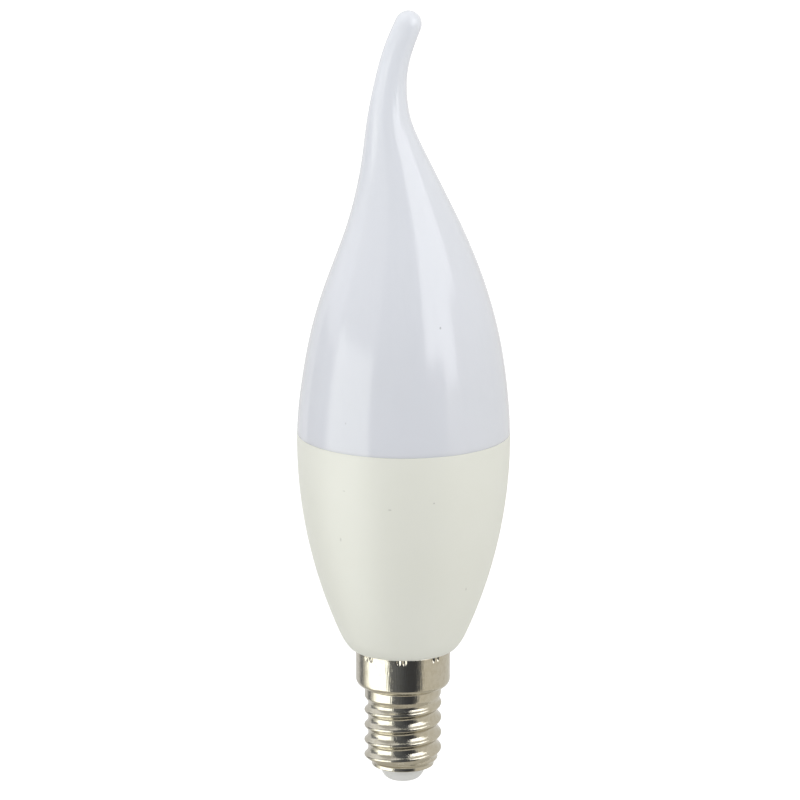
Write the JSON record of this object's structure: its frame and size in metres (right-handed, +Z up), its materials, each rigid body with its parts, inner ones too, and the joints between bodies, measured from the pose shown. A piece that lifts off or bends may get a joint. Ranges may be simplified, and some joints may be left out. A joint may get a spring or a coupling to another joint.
{
  "type": "led candle bulb",
  "caption": "Candle-shaped LED bulb with a bent flame tip: opal diffuser over a white tapering housing on a small metal screw cap.",
  "frame": {"origin": "on the bulb's axis at the flat end of the centre contact, where the bulb meets its lampholder", "axes": "+Z up the bulb's axis from the cap to the flame tip, +X towards the side that the tip's end leans to"},
  "size_m": [0.0382, 0.0382, 0.1417],
  "materials": {
    "opal_diffuser": "moulded opal polycarbonate, smooth and slightly glossy",
    "white_housing": "moulded warm-white plastic, satin",
    "plated_shell": "pressed steel, bright nickel plated",
    "white_insulator": "moulded off-white insulating plastic, matt",
    "plated_contact": "pressed steel, nickel plated"
  },
  "bodies": {
    "root": {"diffuser": "opal_diffuser", "housing": "white_housing", "screw_shell": "plated_shell", "insulator": "white_insulator", "centre_contact": "plated_contact"}
  },
  "joints": []
}
